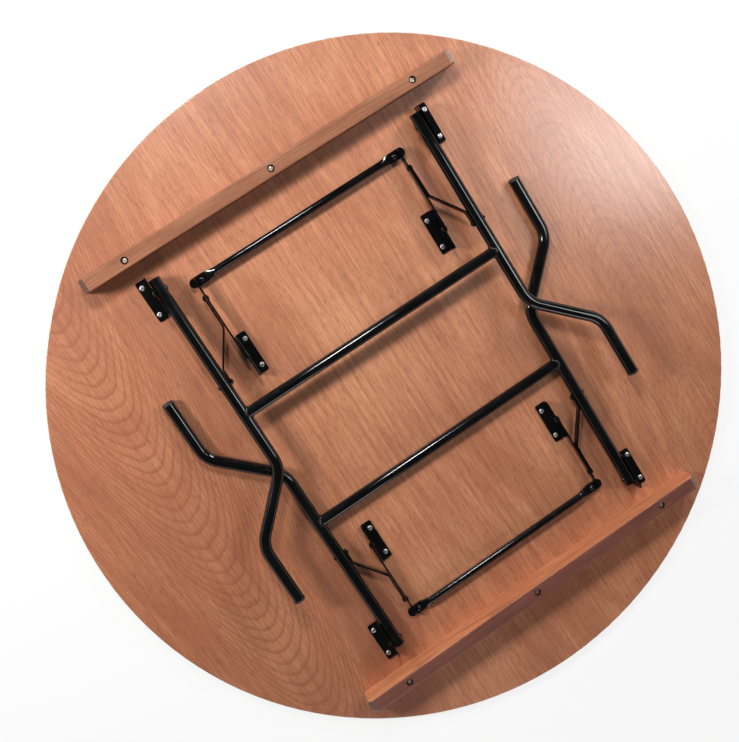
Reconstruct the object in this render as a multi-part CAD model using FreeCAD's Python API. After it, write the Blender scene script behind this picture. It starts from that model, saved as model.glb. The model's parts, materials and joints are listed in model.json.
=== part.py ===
import FreeCAD, Part
import math
import os

from FreeCAD import Vector

os.makedirs("parts", exist_ok=True)

# A round folding banquet table, lying face down with both leg sets folded flat.
# The show face is on z = 0, the battens run along x, and leg set A is hinged on the
# +y side and set B on the -y side. Heights below are measured up from the underside.

# Top: one round panel of plywood
TOP_DIAMETER = 1524.0
TOP_THICKNESS = 18.0
TOP_EDGE_RADIUS = 2.5
STANDING_HEIGHT = 762.0

# Battens: two stacking rails screwed across the underside
BATTEN_LENGTH = 905.0
BATTEN_WIDTH = 32.0
BATTEN_HEIGHT = 56.0
BATTEN_EDGE_RADIUS = 3.0
BATTEN_END_CHAMFER = 13.0
BATTEN_HINGE_GAP = 32.5
BATTEN_SCREW_SPACING = 350.0
BATTEN_SCREW_COUNT = 3
BATTEN_SCREW_DIAMETER = 5.0
BATTEN_SCREW_HEAD_DIAMETER = 11.0
BATTEN_SCREW_HEAD_HEIGHT = 2.4
COUNTERBORE_DIAMETER = 16.0
COUNTERBORE_DEPTH = 7.0

# Legs: two bent tubes to a set, joined by a welded crossbar
TUBE_DIAMETER = 25.4
TUBE_WALL = 1.5
LEG_TRACK = 646.6
FOOT_SPLAY = 121.7
FOOT_STRAIGHT = 139.7
LEG_BEND_ANGLE = 45.0
LEG_BEND_RADIUS = 65.0
OPEN_END_GAP = 5.3
CROSSBAR_OFFSET = 337.0
CROSSBAR_DIAMETER = 24.0
WELD_GAP = 0.05

# Feet: rounded plugs pushed into the tubes
FOOT_CAP_DIAMETER = 27.0
FOOT_CAP_HEIGHT = 6.0
FOOT_CAP_ROUNDING = 4.5
FOOT_STEM_LENGTH = 20.0
FOOT_STEM_CLEARANCE = 0.1
FOOT_REST_GAP = 0.6

# How the sets lie: B flat on the underside, A tilted so that its tubes clear set B
HINGE_OFFSET = 463.0
PIVOT_HEIGHT_A = 33.0
PIVOT_HEIGHT_B = 19.5
CROSSING_GAP = 11.0

# Hinge brackets: folded angles that stand outside the tubes
SHEET_THICKNESS = 3.0
SHEET_BEND_RADIUS = 1.5
HINGE_PLATE_LENGTH = 94.0
HINGE_PLATE_WIDTH = 27.0
HINGE_PLATE_SHIFT = 7.5
HINGE_SIDE_GAP = 0.4
HINGE_FLANGE_MARGIN = 11.0
HINGE_SCREW_SPACING = 64.6
HINGE_SCREW_INSET = 18.5
PLATE_CORNER_RADIUS = 4.0
FLANGE_CORNER_RADIUS = 9.0

# Brace brackets: folded angles that carry the locking braces
BRACE_SPAN = 211.3
BRACE_PIVOT_HEIGHT_A = 26.0
BRACE_PIVOT_HEIGHT_B = 14.0
BRACE_INSET = 68.9
BRACE_PLATE_LENGTH = 98.0
BRACE_PLATE_WIDTH = 26.0
BRACE_FLANGE_MARGIN = 9.5
BRACE_SCREW_SPACING = 65.7
BRACE_SCREW_INSET = 17.1

# Braces: an arm from each brace bracket and a cranked strut from each leg
ARM_REACH = 148.3
ELBOW_HEIGHT_A = 22.0
ELBOW_HEIGHT_B = 14.0
STRAP_WIDTH = 16.0
STRAP_THICKNESS = 4.0
SLIDE_GAP = 0.4
TAB_REACH = 18.0
TAB_LENGTH = 20.0
TAB_CORNER_RADIUS = 6.0
STRUT_WIDTH = 15.0
STRUT_ELBOW_FLAT = 71.0
STRUT_LEG_FLAT = 29.0
STRUT_BEND_RADIUS = 14.0

# Lock rod: a round tube whose flattened ends lie under the arms' tabs and catch the struts
ROD_DIAMETER = 16.0
ROD_REACH = 39.0
ROD_OVERHANG = 13.0
ROD_FLAT_WIDTH = 22.0
ROD_FLAT_THICKNESS = 4.0
ROD_FLAT_LENGTH = 26.0
ROD_FLARE_LENGTH = 24.0

# Rivets and bracket screws
RIVET_DIAMETER = 8.0
RIVET_HEAD_DIAMETER = 13.0
RIVET_HEAD_HEIGHT = 3.2
RIVET_HEAD_GAP = 0.2
FIT_CLEARANCE = 0.05
SCREW_DIAMETER = 4.8
SCREW_HEAD_DIAMETER = 11.5
SCREW_HEAD_HEIGHT = 3.0
SCREW_BITE = 12.0
PILOT_END_ROOM = 1.0

OVERRUN = 1.0
TOLERANCE = 1e-4

ORIGIN = Vector(0, 0, 0)
X_AXIS = Vector(1, 0, 0)
Y_AXIS = Vector(0, 1, 0)
Z_AXIS = Vector(0, 0, 1)

# Places across the table, from its centre line to the right
leg_x = LEG_TRACK / 2
foot_x = leg_x + FOOT_SPLAY
tube_inner_x = leg_x - TUBE_DIAMETER / 2
tube_outer_x = leg_x + TUBE_DIAMETER / 2
hinge_flange_x = tube_outer_x + HINGE_SIDE_GAP
arm_inner_x = leg_x - BRACE_INSET - STRAP_THICKNESS / 2
arm_outer_x = arm_inner_x + STRAP_THICKNESS
brace_flange_x = arm_inner_x - SLIDE_GAP
strut_elbow_x = arm_outer_x + SLIDE_GAP + STRAP_THICKNESS / 2
strut_leg_x = tube_inner_x - SLIDE_GAP - STRAP_THICKNESS / 2
rod_rivet_x = arm_inner_x - TAB_REACH / 2
rod_eye_x = arm_outer_x + ROD_OVERHANG - ROD_FLAT_WIDTH / 2
rod_flat_x = rod_eye_x - ROD_FLAT_LENGTH
rod_round_x = rod_flat_x - ROD_FLARE_LENGTH

# Lengths along a leg
leg_tube_length = STANDING_HEIGHT - TOP_THICKNESS - OPEN_END_GAP - FOOT_CAP_HEIGHT
hinge_plate_y = HINGE_OFFSET - HINGE_PLATE_SHIFT
brace_y = HINGE_OFFSET - BRACE_SPAN
batten_y = hinge_plate_y + HINGE_PLATE_LENGTH / 2 + BATTEN_HINGE_GAP + BATTEN_WIDTH / 2
fit_diameter = RIVET_DIAMETER + 2 * FIT_CLEARANCE


def bore_x(y, z, x_from, x_to, diameter):
    """Cutter along x that runs past both ends."""
    start = Vector(x_from - OVERRUN, y, z)
    return Part.makeCylinder(diameter / 2, x_to - x_from + 2 * OVERRUN, start, X_AXIS)


def dome(base, direction, diameter, height):
    """Button head that stands on base and points along direction."""
    radius = diameter / 2
    ball = (radius ** 2 + height ** 2) / (2 * height)
    sphere = Part.makeSphere(ball, base - direction * (ball - height))
    trim = Part.makeCylinder(radius + OVERRUN, height + OVERRUN, base, direction)
    return sphere.common(trim)


def shank_x(x_from, x_to):
    """Rivet shank on the x axis."""
    return Part.makeCylinder(RIVET_DIAMETER / 2, x_to - x_from, Vector(x_from, 0, 0), X_AXIS)


def head_x(x, direction):
    """Rivet head on a flat face at x, pointing along direction."""
    return dome(Vector(x, 0, 0), direction, RIVET_HEAD_DIAMETER, RIVET_HEAD_HEIGHT)


def head_on_tube(direction):
    """Rivet head hammered down to the round of a leg tube."""
    radius = TUBE_DIAMETER / 2
    sag = radius - math.sqrt(radius ** 2 - (RIVET_HEAD_DIAMETER / 2) ** 2)
    base = Vector(leg_x, 0, 0) + direction * (radius - sag)
    head = dome(base, direction, RIVET_HEAD_DIAMETER, RIVET_HEAD_HEIGHT + sag)
    tube_start = Vector(leg_x, -RIVET_HEAD_DIAMETER, 0)
    tube = Part.makeCylinder(radius + FIT_CLEARANCE, 2 * RIVET_HEAD_DIAMETER, tube_start, Y_AXIS)
    return head.cut(tube)


def joined(first, *others):
    """One clean solid from overlapping or touching solids."""
    return first.fuse(list(others)).removeSplitter()


def rounded_path(points, radius):
    """Wire of straight runs through points, with a tangent arc at each corner."""
    edges = []
    start = points[0]
    for before, corner, after in zip(points, points[1:], points[2:]):
        back = (before - corner).normalize()
        onward = (after - corner).normalize()
        turn = math.pi - back.getAngle(onward)
        reach = radius * math.tan(turn / 2)
        bisector = (back + onward).normalize()
        arc_start = corner + back * reach
        arc_middle = corner + bisector * (radius / math.cos(turn / 2) - radius)
        arc_end = corner + onward * reach
        edges.append(Part.LineSegment(start, arc_start).toShape())
        edges.append(Part.Arc(arc_start, arc_middle, arc_end).toShape())
        start = arc_end
    edges.append(Part.LineSegment(start, points[-1]).toShape())
    return Part.Wire(edges)


def stadium_wire(centre_a, centre_b, width, normal):
    """Outline with straight sides and round ends about two centres."""
    along = (centre_b - centre_a).normalize() * (width / 2)
    across = normal.cross(along)
    side_a = Part.LineSegment(centre_a - across, centre_b - across).toShape()
    end_b = Part.Arc(centre_b - across, centre_b + along, centre_b + across).toShape()
    side_b = Part.LineSegment(centre_b + across, centre_a + across).toShape()
    end_a = Part.Arc(centre_a + across, centre_a - along, centre_a - across).toShape()
    return Part.Wire([side_a, end_b, side_b, end_a])


def strap_blank(length, width, x_from, x_to):
    """Flat strap with round ends, from the x axis to a second centre along y."""
    outline = stadium_wire(Vector(x_from, 0, 0), Vector(x_from, length, 0), width, X_AXIS)
    return Part.Face(outline).extrude(X_AXIS * (x_to - x_from))


def mirrored(shape):
    """The left-hand twin of a right-hand piece."""
    return shape.mirror(ORIGIN, X_AXIS)


def swung(shape, angle, pivot):
    """Turn a piece about its rivet on the x axis, then carry that rivet to its place."""
    placed = shape.copy()
    placed.rotate(ORIGIN, X_AXIS, math.degrees(angle))
    placed.translate(Vector(0, pivot.y, TOP_THICKNESS + pivot.z))
    return placed


def linkage(pivot_height, brace_height, elbow_height, tilt):
    """Rivet places of one side, as (0, y, height), with the leg folded.

    The strut's rivet sits on the leg where the arm and strut come into one straight line
    just as the leg stands upright, so that the brace locks there.
    """
    hinge = Vector(0, HINGE_OFFSET, pivot_height)
    brace = Vector(0, brace_y, brace_height)
    elbow = Vector(0, brace_y + ARM_REACH, elbow_height)
    down_leg = Vector(0, -math.cos(tilt), math.sin(tilt))
    to_elbow = elbow - hinge
    to_brace = brace - hinge
    arm = (elbow - brace).Length
    slope = to_elbow.dot(down_leg) - to_brace.z
    excess = to_brace.Length ** 2 + arm ** 2 - to_elbow.Length ** 2
    square = 4 * (arm ** 2 - slope ** 2)
    linear = -8 * arm ** 2 * to_brace.z - 4 * excess * slope
    constant = 4 * arm ** 2 * to_brace.Length ** 2 - excess ** 2
    strut_offset = (math.sqrt(linear ** 2 - 4 * square * constant) - linear) / (2 * square)
    leg_rivet = hinge + down_leg * strut_offset
    return {
        "hinge": hinge,
        "brace": brace,
        "elbow": elbow,
        "leg_rivet": leg_rivet,
        "tilt": tilt,
        "overhang": pivot_height - OPEN_END_GAP,
        "strut_offset": strut_offset,
        "arm_length": arm,
        "arm_angle": math.atan2(elbow.z - brace.z, elbow.y - brace.y),
        "strut_length": (elbow - leg_rivet).Length,
        "strut_angle": math.atan2(elbow.z - leg_rivet.z, elbow.y - leg_rivet.y),
    }


def rest_tilts():
    """Lift of each set toward its feet, B just clear of the underside and A clear of B."""
    reach_b = leg_tube_length - (PIVOT_HEIGHT_B - OPEN_END_GAP)
    drop_b = PIVOT_HEIGHT_B - FOOT_CAP_DIAMETER / 2 - FOOT_REST_GAP
    tilt_b = -math.asin(drop_b / reach_b)
    crossing_b = PIVOT_HEIGHT_B + HINGE_OFFSET * math.tan(tilt_b)
    lift_a = crossing_b + TUBE_DIAMETER + CROSSING_GAP - PIVOT_HEIGHT_A
    tilt_a = math.atan(lift_a / HINGE_OFFSET)
    return tilt_a, tilt_b


def table_top(screw_places):
    """Round panel with eased rims and blind pilot holes in its underside."""
    disc = Part.makeCylinder(TOP_DIAMETER / 2, TOP_THICKNESS)
    rims = [edge for edge in disc.Edges if edge.Closed and isinstance(edge.Curve, Part.Circle)]
    disc = disc.makeFillet(TOP_EDGE_RADIUS, rims)
    holes = []
    for x, y, diameter in screw_places:
        depth = SCREW_BITE + PILOT_END_ROOM
        start = Vector(x, y, TOP_THICKNESS - depth)
        radius = diameter / 2 + FIT_CLEARANCE
        holes.append(Part.makeCylinder(radius, depth + OVERRUN, start, Z_AXIS))
    return disc.cut(holes)


def batten_screw_x():
    """Places of the screws along a batten."""
    middle = (BATTEN_SCREW_COUNT - 1) / 2
    return [(index - middle) * BATTEN_SCREW_SPACING for index in range(BATTEN_SCREW_COUNT)]


def batten():
    """Rail on the +y side with chamfered ends, eased edges and counterbored screw holes."""
    corner = Vector(-BATTEN_LENGTH / 2, batten_y - BATTEN_WIDTH / 2, TOP_THICKNESS)
    bar = Part.makeBox(BATTEN_LENGTH, BATTEN_WIDTH, BATTEN_HEIGHT, corner)
    upper = [edge for edge in bar.Edges if edge.BoundBox.ZMin > TOP_THICKNESS + TOLERANCE]
    ends = [edge for edge in upper if edge.BoundBox.XLength < TOLERANCE]
    bar = bar.makeChamfer(BATTEN_END_CHAMFER, ends)
    eased = [edge for edge in bar.Edges if edge.BoundBox.ZMax > TOP_THICKNESS + TOLERANCE]
    bar = bar.makeFillet(BATTEN_EDGE_RADIUS, eased)
    ledge = TOP_THICKNESS + BATTEN_HEIGHT - COUNTERBORE_DEPTH
    cutters = []
    for x in batten_screw_x():
        hole = BATTEN_SCREW_DIAMETER / 2 + FIT_CLEARANCE
        foot = Vector(x, batten_y, TOP_THICKNESS - OVERRUN)
        cutters.append(Part.makeCylinder(hole, BATTEN_HEIGHT + OVERRUN, foot))
        cutters.append(
            Part.makeCylinder(COUNTERBORE_DIAMETER / 2, COUNTERBORE_DEPTH + OVERRUN, Vector(x, batten_y, ledge))
        )
    return bar.cut(cutters)


def screw(seat, shank_length, shank_diameter, head_diameter, head_height):
    """Screw with a domed head on its seat and its shank below."""
    tip = seat - Z_AXIS * shank_length
    shank = Part.makeCylinder(shank_diameter / 2, shank_length, tip, Z_AXIS)
    return joined(shank, dome(seat, Z_AXIS, head_diameter, head_height))


def batten_screws():
    """Long screws through one batten into the top."""
    ledge = BATTEN_HEIGHT - COUNTERBORE_DEPTH
    sizes = (BATTEN_SCREW_DIAMETER, BATTEN_SCREW_HEAD_DIAMETER, BATTEN_SCREW_HEAD_HEIGHT)
    seats = [Vector(x, batten_y, TOP_THICKNESS + ledge) for x in batten_screw_x()]
    return [screw(seat, ledge + SCREW_BITE, *sizes) for seat in seats]


def plate_screws(x, y, spacing):
    """The two screws that hold a bracket's plate."""
    sizes = (SCREW_DIAMETER, SCREW_HEAD_DIAMETER, SCREW_HEAD_HEIGHT)
    seat_z = TOP_THICKNESS + SHEET_THICKNESS
    seats = [Vector(x, y + end * spacing / 2, seat_z) for end in (-1, 1)]
    return [screw(seat, SHEET_THICKNESS + SCREW_BITE, *sizes) for seat in seats]


def folded_angle(plate_width, flange_height, length):
    """Sheet angle with its fold along y at the origin, plate along +x and flange along +z."""
    outer = SHEET_BEND_RADIUS + SHEET_THICKNESS
    diagonal = math.sqrt(1 / 2)
    fold = Vector(outer, 0, outer)
    slant = Vector(-diagonal, 0, -diagonal)
    corners = [
        Vector(outer, 0, 0),
        Vector(plate_width, 0, 0),
        Vector(plate_width, 0, SHEET_THICKNESS),
        Vector(outer, 0, SHEET_THICKNESS),
        Vector(SHEET_THICKNESS, 0, outer),
        Vector(SHEET_THICKNESS, 0, flange_height),
        Vector(0, 0, flange_height),
        Vector(0, 0, outer),
    ]
    runs = [Part.LineSegment(corners[i], corners[i + 1]).toShape() for i in (0, 1, 2, 4, 5, 6)]
    inside = Part.Arc(corners[3], fold + slant * SHEET_BEND_RADIUS, corners[4]).toShape()
    outside = Part.Arc(corners[7], fold + slant * outer, corners[0]).toShape()
    section = Part.Wire(runs[:3] + [inside] + runs[3:] + [outside])
    angle = Part.Face(section).extrude(Y_AXIS * length)
    angle.translate(Y_AXIS * (-length / 2))
    return eased_angle(angle, plate_width, flange_height)


def eased_angle(angle, plate_width, flange_height):
    """Round the free corners of an angle's plate and flange."""
    across = [edge for edge in angle.Edges if edge.BoundBox.YLength < TOLERANCE]
    plate_corners = [edge for edge in across if edge.BoundBox.XMin > plate_width - TOLERANCE]
    angle = angle.makeFillet(PLATE_CORNER_RADIUS, plate_corners)
    across = [edge for edge in angle.Edges if edge.BoundBox.YLength < TOLERANCE]
    flange_corners = [edge for edge in across if edge.BoundBox.ZMin > flange_height - TOLERANCE]
    return angle.makeFillet(FLANGE_CORNER_RADIUS, flange_corners)


def screw_holes(x, spacing):
    """Cutters for the two screw holes of a bracket's plate."""
    radius = SCREW_DIAMETER / 2 + FIT_CLEARANCE
    height = SHEET_THICKNESS + 2 * OVERRUN
    starts = [Vector(x, end * spacing / 2, -OVERRUN) for end in (-1, 1)]
    return [Part.makeCylinder(radius, height, start) for start in starts]


def hinge_bracket(link):
    """Right-hand angle whose flange stands outside the leg tube and carries its rivet."""
    flange_height = link["hinge"].z + HINGE_FLANGE_MARGIN
    angle = folded_angle(HINGE_PLATE_WIDTH, flange_height, HINGE_PLATE_LENGTH)
    cutters = screw_holes(HINGE_SCREW_INSET, HINGE_SCREW_SPACING)
    cutters.append(bore_x(HINGE_PLATE_SHIFT, link["hinge"].z, 0, SHEET_THICKNESS, fit_diameter))
    bracket = angle.cut(cutters)
    bracket.translate(Vector(hinge_flange_x, hinge_plate_y, TOP_THICKNESS))
    return bracket


def brace_bracket(link):
    """Right-hand angle whose flange carries the brace arm on its outer face."""
    flange_height = link["brace"].z + BRACE_FLANGE_MARGIN
    angle = folded_angle(BRACE_PLATE_WIDTH, flange_height, BRACE_PLATE_LENGTH)
    cutters = screw_holes(BRACE_SCREW_INSET, BRACE_SCREW_SPACING)
    cutters.append(bore_x(0, link["brace"].z, 0, SHEET_THICKNESS, fit_diameter))
    bracket = mirrored(angle.cut(cutters))
    bracket.translate(Vector(brace_flange_x, brace_y, TOP_THICKNESS))
    return bracket


def leg(link):
    """Right-hand bent tube, with its hinge rivet's axis at the origin and its foot toward -y."""
    end_y = link["overhang"]
    foot_y = end_y - leg_tube_length
    splay_run = FOOT_SPLAY / math.tan(math.radians(LEG_BEND_ANGLE))
    points = [
        Vector(leg_x, end_y, 0),
        Vector(leg_x, foot_y + FOOT_STRAIGHT + splay_run, 0),
        Vector(foot_x, foot_y + FOOT_STRAIGHT, 0),
        Vector(foot_x, foot_y, 0),
    ]
    path = rounded_path(points, LEG_BEND_RADIUS)
    sections = []
    for diameter in (TUBE_DIAMETER, TUBE_DIAMETER - 2 * TUBE_WALL):
        circle = Part.Circle(points[0], Y_AXIS, diameter / 2)
        sections.append(path.makePipeShell([Part.Wire([circle.toShape()])], True))
    tube = sections[0].cut(sections[1])
    holes = [bore_x(y, 0, tube_inner_x, tube_outer_x, fit_diameter) for y in (0, -link["strut_offset"])]
    return tube.cut(holes)


def crossbar(link):
    """Tube between the legs of a set, coped to fit round them."""
    y = link["overhang"] - CROSSBAR_OFFSET
    start = Vector(-leg_x, y, 0)
    bar = Part.makeCylinder(CROSSBAR_DIAMETER / 2, LEG_TRACK, start, X_AXIS)
    bore = Part.makeCylinder(CROSSBAR_DIAMETER / 2 - TUBE_WALL, LEG_TRACK, start, X_AXIS)
    copes = []
    for side in (-1, 1):
        low = Vector(side * leg_x, y - CROSSBAR_DIAMETER, 0)
        copes.append(Part.makeCylinder(TUBE_DIAMETER / 2 + WELD_GAP, 2 * CROSSBAR_DIAMETER, low, Y_AXIS))
    return bar.cut([bore] + copes)


def foot_plug(link):
    """Right-hand foot: a stem inside the tube and a rounded cap on its end."""
    end = Vector(foot_x, link["overhang"] - leg_tube_length, 0)
    stem_radius = TUBE_DIAMETER / 2 - TUBE_WALL - FOOT_STEM_CLEARANCE
    stem = Part.makeCylinder(stem_radius, FOOT_STEM_LENGTH, end, Y_AXIS)
    cap = Part.makeCylinder(FOOT_CAP_DIAMETER / 2, FOOT_CAP_HEIGHT, end, -Y_AXIS)
    tread_y = end.y - FOOT_CAP_HEIGHT
    tread = [edge for edge in cap.Edges if edge.Closed and edge.BoundBox.YMax < tread_y + TOLERANCE]
    return joined(cap.makeFillet(FOOT_CAP_ROUNDING, tread), stem)


def hinge_rivet():
    """Rivet through the leg tube and the hinge bracket's flange."""
    end_x = hinge_flange_x + SHEET_THICKNESS + RIVET_HEAD_GAP
    shank = shank_x(tube_inner_x - RIVET_HEAD_HEIGHT / 2, end_x)
    return joined(shank, head_on_tube(-X_AXIS), head_x(end_x, X_AXIS))


def strut_rivet():
    """Rivet fixed in the leg tube, on which the strut's leg end turns."""
    start_x = strut_leg_x - STRAP_THICKNESS / 2 - RIVET_HEAD_GAP
    shank = shank_x(start_x, tube_outer_x + RIVET_HEAD_HEIGHT / 2)
    return joined(shank, head_x(start_x, -X_AXIS), head_on_tube(X_AXIS))


def brace_rivet():
    """Rivet through the brace bracket's flange and the arm."""
    start_x = brace_flange_x - SHEET_THICKNESS - RIVET_HEAD_GAP
    return joined(shank_x(start_x, arm_outer_x), head_x(start_x, -X_AXIS), head_x(arm_outer_x, X_AXIS))


def elbow_rivet_arm():
    """The arm's half of the elbow rivet, with its head on the inner face."""
    return joined(shank_x(arm_inner_x, arm_outer_x), head_x(arm_inner_x, -X_AXIS))


def elbow_rivet_strut():
    """The strut's half of the elbow rivet, with its head on the outer face."""
    start_x = strut_elbow_x - STRAP_THICKNESS / 2
    end_x = strut_elbow_x + STRAP_THICKNESS / 2
    return joined(shank_x(start_x, end_x), head_x(end_x, X_AXIS))


def rod_rivet():
    """Upright rivet through an arm's tab and the rod's eye, flush below."""
    seat = Vector(rod_rivet_x, 0, STRAP_THICKNESS - STRAP_WIDTH / 2)
    length = STRAP_THICKNESS + ROD_FLAT_THICKNESS
    shank = Part.makeCylinder(RIVET_DIAMETER / 2, length, seat - Z_AXIS * length)
    return joined(shank, dome(seat, Z_AXIS, RIVET_HEAD_DIAMETER, RIVET_HEAD_HEIGHT))


def rod_rivet_hole(y):
    """Cutter for an upright rod rivet, through tab and eye."""
    start = Vector(rod_rivet_x, y, -STRAP_WIDTH / 2 - ROD_FLAT_THICKNESS - OVERRUN)
    height = STRAP_THICKNESS + ROD_FLAT_THICKNESS + 2 * OVERRUN
    return Part.makeCylinder(fit_diameter / 2, height, start)


def arm_tab(rod_y):
    """Tab folded inboard from the arm's lower edge, which carries the rod's eye."""
    low = Vector(arm_inner_x - TAB_REACH, rod_y - TAB_LENGTH / 2, -STRAP_WIDTH / 2)
    tab = Part.makeBox(TAB_REACH + STRAP_THICKNESS, TAB_LENGTH, STRAP_THICKNESS, low)
    free = [edge for edge in tab.Edges if edge.BoundBox.XMax < low.x + TOLERANCE]
    upright = [edge for edge in free if edge.BoundBox.YLength < TOLERANCE]
    return tab.makeFillet(TAB_CORNER_RADIUS, upright)


def brace_arm(link):
    """Right-hand flat arm, with its bracket rivet's axis at the origin and the rod end toward +y."""
    rod_y = link["arm_length"] + ROD_REACH
    blank = strap_blank(rod_y, STRAP_WIDTH, arm_inner_x, arm_outer_x)
    holes = [bore_x(y, 0, arm_inner_x, arm_outer_x, fit_diameter) for y in (0, link["arm_length"])]
    return joined(blank, arm_tab(rod_y)).cut(holes + [rod_rivet_hole(rod_y)])


def strut(link):
    """Right-hand cranked strap, with its leg rivet's axis at the origin and the elbow toward +y."""
    length = link["strut_length"]
    points = [
        Vector(strut_leg_x, -STRUT_WIDTH / 2, 0),
        Vector(strut_leg_x, STRUT_LEG_FLAT, 0),
        Vector(strut_elbow_x, length - STRUT_ELBOW_FLAT, 0),
        Vector(strut_elbow_x, length + STRUT_WIDTH / 2, 0),
    ]
    path = rounded_path(points, STRUT_BEND_RADIUS)
    half_x = X_AXIS * (STRAP_THICKNESS / 2)
    half_z = Z_AXIS * (STRUT_WIDTH / 2)
    corners = [half_x + half_z, half_z - half_x, -half_x - half_z, half_x - half_z]
    outline = [points[0] + corner for corner in corners]
    section = Part.makePolygon(outline + outline[:1])
    band = path.makePipeShell([section], True)
    low_x = strut_elbow_x - STRAP_THICKNESS
    high_x = strut_leg_x + STRAP_THICKNESS
    strap = band.common(strap_blank(length, STRUT_WIDTH, low_x, high_x))
    return strap.cut([bore_x(y, 0, low_x, high_x, fit_diameter) for y in (0, length)])


def round_section(x):
    """Outline of the round rod in four arcs, to match its flattened end side by side."""
    radius = ROD_DIAMETER / 2
    edges = []
    for quarter in range(4):
        angles = [math.pi / 4 * (2 * quarter + step - 3) for step in range(3)]
        arc = [Vector(x, radius * math.cos(a), radius * math.sin(a)) for a in angles]
        edges.append(Part.Arc(*arc).toShape())
    return Part.Wire(edges)


def flat_section(x):
    """Outline of the rod where it is pressed flat, level with the round part's lower side."""
    half = ROD_FLAT_WIDTH / 2
    low = -ROD_DIAMETER / 2
    high = low + ROD_FLAT_THICKNESS
    sides = [Vector(x, -half, low), Vector(x, half, low), Vector(x, half, high), Vector(x, -half, high)]
    return Part.makePolygon(sides + sides[:1])


def rod_eye():
    """Flattened right-hand end of the rod, with its round tip past the arm."""
    half = ROD_FLAT_WIDTH / 2
    low = -ROD_DIAMETER / 2
    start_a = Vector(rod_flat_x, -half, low)
    start_b = Vector(rod_flat_x, half, low)
    tip_a = Vector(rod_eye_x, -half, low)
    tip_b = Vector(rod_eye_x, half, low)
    outline = [
        Part.LineSegment(start_a, tip_a),
        Part.Arc(tip_a, Vector(rod_eye_x + half, 0, low), tip_b),
        Part.LineSegment(tip_b, start_b),
        Part.LineSegment(start_b, start_a),
    ]
    return Part.Face(Part.Wire([run.toShape() for run in outline])).extrude(Z_AXIS * ROD_FLAT_THICKNESS)


def lock_rod(link):
    """Rod across the two arms, in the arms' frame with the bracket rivets' axis at the origin."""
    rod_y = link["arm_length"] + ROD_REACH
    bar = Part.makeCylinder(ROD_DIAMETER / 2, 2 * rod_round_x, Vector(-rod_round_x, 0, 0), X_AXIS)
    flare = Part.makeLoft([round_section(rod_round_x), flat_section(rod_flat_x)], True, True)
    end = joined(flare, rod_eye())
    rod = joined(bar, end, mirrored(end))
    rod.translate(Vector(0, rod_y, ROD_DIAMETER / 2 - STRAP_WIDTH / 2 - ROD_FLAT_THICKNESS))
    hole = rod_rivet_hole(rod_y)
    return rod.cut([hole, mirrored(hole)])


def along_y(shape, distance):
    """Copy of a piece carried along y."""
    placed = shape.copy()
    placed.translate(Y_AXIS * distance)
    return placed


def save(node, solids, flip):
    """Write a node; set B is set A's arrangement reflected across the table."""
    shape = solids[0] if len(solids) == 1 else Part.makeCompound(solids)
    if flip:
        shape = shape.mirror(ORIGIN, Y_AXIS)
    shape.exportStep("parts/" + node + ".step")


def save_pair(node, shape, flip):
    """Write the left and right twins of a piece as two nodes."""
    save(node + "_right", [shape], flip)
    save(node + "_left", [mirrored(shape)], flip)


def save_twins(node, shapes, flip):
    """Write pieces and their left-hand twins as one node of separate solids."""
    save(node, shapes + [mirrored(shape) for shape in shapes], flip)


def save_set(name, link, flip):
    """Write the brackets, legs and braces of one leg set."""
    hinge = link["hinge"]
    brace = link["brace"]
    leg_rivet = link["leg_rivet"]
    leg_angle = -link["tilt"]
    arm_angle = link["arm_angle"]
    strut_angle = link["strut_angle"]
    arm_length = link["arm_length"]

    save_pair("hinge_bracket_" + name, hinge_bracket(link), flip)
    save_pair("brace_bracket_" + name, brace_bracket(link), flip)

    save_pair("leg_" + name, swung(leg(link), leg_angle, hinge), flip)
    save("crossbar_" + name, [swung(crossbar(link), leg_angle, hinge)], flip)
    save_twins("foot_plugs_" + name, [swung(foot_plug(link), leg_angle, hinge)], flip)
    save_twins("hinge_rivets_" + name, [swung(hinge_rivet(), leg_angle, hinge)], flip)
    leg_head = along_y(strut_rivet(), -link["strut_offset"])
    save_twins("strut_rivets_" + name, [swung(leg_head, leg_angle, hinge)], flip)

    save_pair("brace_arm_" + name, swung(brace_arm(link), arm_angle, brace), flip)
    save("lock_rod_" + name, [swung(lock_rod(link), arm_angle, brace)], flip)
    save_twins("brace_rivets_" + name, [swung(brace_rivet(), arm_angle, brace)], flip)
    elbow_head = along_y(elbow_rivet_arm(), arm_length)
    save_twins("elbow_rivets_" + name, [swung(elbow_head, arm_angle, brace)], flip)
    rod_head = along_y(rod_rivet(), arm_length + ROD_REACH)
    save_twins("rod_rivets_" + name, [swung(rod_head, arm_angle, brace)], flip)

    save_pair("strut_" + name, swung(strut(link), strut_angle, leg_rivet), flip)
    elbow_cap = along_y(elbow_rivet_strut(), link["strut_length"])
    save_twins("elbow_caps_" + name, [swung(elbow_cap, strut_angle, leg_rivet)], flip)


hinge_screw_x = hinge_flange_x + HINGE_SCREW_INSET
brace_screw_x = brace_flange_x - BRACE_SCREW_INSET
half_bracket_screws = plate_screws(hinge_screw_x, hinge_plate_y, HINGE_SCREW_SPACING)
half_bracket_screws += plate_screws(brace_screw_x, brace_y, BRACE_SCREW_SPACING)
half_bracket_screws += [mirrored(one) for one in half_bracket_screws]
other_bracket_screws = [one.mirror(ORIGIN, Y_AXIS) for one in half_bracket_screws]
half_batten_screws = batten_screws()
other_batten_screws = [one.mirror(ORIGIN, Y_AXIS) for one in half_batten_screws]

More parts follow.
